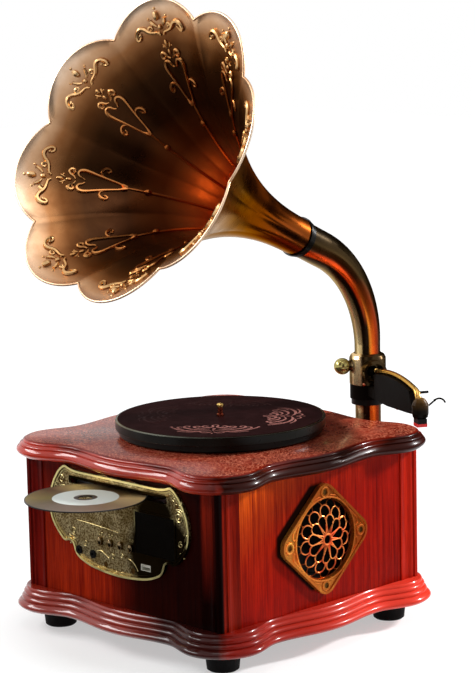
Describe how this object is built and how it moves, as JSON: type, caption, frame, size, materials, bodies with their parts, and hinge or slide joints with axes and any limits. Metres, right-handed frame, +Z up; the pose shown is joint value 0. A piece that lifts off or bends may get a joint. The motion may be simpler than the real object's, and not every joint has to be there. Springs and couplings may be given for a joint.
{
  "type": "horn record player",
  "caption": "Table-top gramophone with a moulded wooden cabinet, platter, swinging tonearm, flower horn on a bent neck, disc slot and side speakers.",
  "frame": {"origin": "on the floor under the platter's spindle, which stands in the middle of the cabinet", "axes": "+Z up along the spindle, -Y out of the front with the disc slot, +X to the right as seen from the front, towards the resting tonearm"},
  "size_m": [0.3788, 0.4322, 0.6453],
  "materials": {
    "board_wood": "gloss lacquer over dark mahogany",
    "body_wood": "gloss lacquer over red mahogany",
    "foot_rubber": "matt",
    "dark_screw": "aged",
    "plate_brass": "antique, pale gold on dark",
    "smoked_window": "polished black",
    "socket_black": "satin black",
    "bright_steel": "plain",
    "circuit_board": "green lacquer",
    "disc_plastic": "bronze brown",
    "grille_brass": "copper coloured, polished",
    "cone_paper": "black paper",
    "platter_black": "black with bright lines",
    "mat_felt": "dark red felt with a traced pattern",
    "gold_brass": "polished and lacquered",
    "horn_brass": "copper brown, engraved",
    "arm_black": "black, slightly glossy",
    "needle_red": "bright red"
  },
  "bodies": {
    "cabinet": {"base_board": "board_wood", "top_board": "board_wood", "post_front_left": "body_wood", "post_front_right": "body_wood", "post_back_left": "body_wood", "post_back_right": "body_wood", "front_panel": "body_wood", "right_panel": "body_wood", "left_panel": "body_wood", "back_panel": "body_wood", "feet": "foot_rubber", "screws": "dark_screw", "front_plate": "plate_brass", "display_window": "smoked_window", "audio_sockets": "socket_black", "data_socket": "bright_steel", "control_board": "circuit_board", "drive_chassis": "bright_steel", "drive_cover": "bright_steel", "grille_right": "grille_brass", "rosette_right": "grille_brass", "speaker_frame_right": "socket_black", "speaker_cone_right": "cone_paper", "grille_left": "grille_brass", "rosette_left": "grille_brass", "speaker_frame_left": "socket_black", "speaker_cone_left": "cone_paper", "spindle_bush": "gold_brass", "motor": "bright_steel", "drive_belt": "foot_rubber", "amplifier_board": "circuit_board", "power_inlet": "socket_black", "neck_brackets": "gold_brass", "neck_tube": "gold_brass", "neck_elbow": "gold_brass", "horn_collar": "gold_brass", "support_collar": "socket_black"},
    "turntable": {"platter": "platter_black", "platter_mat": "mat_felt", "spindle": "gold_brass"},
    "pulley": {"motor_pulley": "gold_brass"},
    "small_disc": {"disc": "disc_plastic"},
    "roller": {"feed_roller": "foot_rubber"},
    "button_one": {"button_1": "plate_brass"},
    "button_two": {"button_2": "plate_brass"},
    "button_three": {"button_3": "plate_brass"},
    "button_four": {"button_4": "plate_brass"},
    "carrier": {"tonearm_carrier": "gold_brass", "carrier_base": "socket_black", "arm_pin": "bright_steel"},
    "knob": {"lock_knob": "gold_brass"},
    "arm": {"tonearm_body": "arm_black", "tonearm_rod": "gold_brass", "head_shell": "socket_black", "cartridge": "socket_black", "stylus": "needle_red", "finger_lift": "socket_black", "side_pin": "socket_black"},
    "horn": {"horn_bell": "horn_brass"}
  },
  "joints": [
    {"name": "platter_spin", "type": "hinge", "parent": "cabinet", "child": "turntable", "pos_m": [0, 0, 0.2], "axis": [0, 0, 1], "continuous": true},
    {"name": "motor_spin", "type": "hinge", "parent": "cabinet", "child": "pulley", "pos_m": [-0.05091, 0.05091, 0.19], "axis": [0, 0, 1], "continuous": true},
    {"name": "disc_slide", "type": "slide", "parent": "cabinet", "child": "small_disc", "axis": [0, 1, 0], "range_m": [0, 0.116]},
    {"name": "feed_turn", "type": "hinge", "parent": "cabinet", "child": "roller", "pos_m": [0, -0.1205, 0.1591], "axis": [-1, 0, 0], "range_deg": [0, 1665]},
    {"name": "press_1", "type": "slide", "parent": "cabinet", "child": "button_one", "axis": [0, 1, 0], "range_m": [0, 0.0015], "stiffness_N_per_m": 400, "springref_m": -0.001},
    {"name": "press_2", "type": "slide", "parent": "cabinet", "child": "button_two", "axis": [0, 1, 0], "range_m": [0, 0.0015], "stiffness_N_per_m": 400, "springref_m": -0.001},
    {"name": "press_3", "type": "slide", "parent": "cabinet", "child": "button_three", "axis": [0, 1, 0], "range_m": [0, 0.0015], "stiffness_N_per_m": 400, "springref_m": -0.001},
    {"name": "press_4", "type": "slide", "parent": "cabinet", "child": "button_four", "axis": [0, 1, 0], "range_m": [0, 0.0015], "stiffness_N_per_m": 400, "springref_m": -0.001},
    {"name": "tonearm_swing", "type": "hinge", "parent": "cabinet", "child": "carrier", "pos_m": [0.051, 0.1675, 0.24], "axis": [0, 0, 1], "range_deg": [-60, 25]},
    {"name": "tonearm_lift", "type": "hinge", "parent": "carrier", "child": "arm", "pos_m": [0.07092, 0.156, 0.247], "axis": [-0.5, -0.866, 0], "range_deg": [0, 15]},
    {"name": "knob_turn", "type": "hinge", "parent": "carrier", "child": "knob", "pos_m": [0.051, 0.1675, 0.251], "axis": [-0.5, -0.866, 0], "range_deg": [0, 180]},
    {"name": "horn_turn", "type": "hinge", "parent": "cabinet", "child": "horn", "pos_m": [0.051, 0.06348, 0.39827], "axis": [0, -0.8988, 0.4384], "continuous": true}
  ],
  "couplings": [
    {"joint": "motor_spin", "follows": "platter_spin", "ratio": 8.1132},
    {"joint": "feed_turn", "follows": "disc_slide", "rad_per_m": 250}
  ]
}
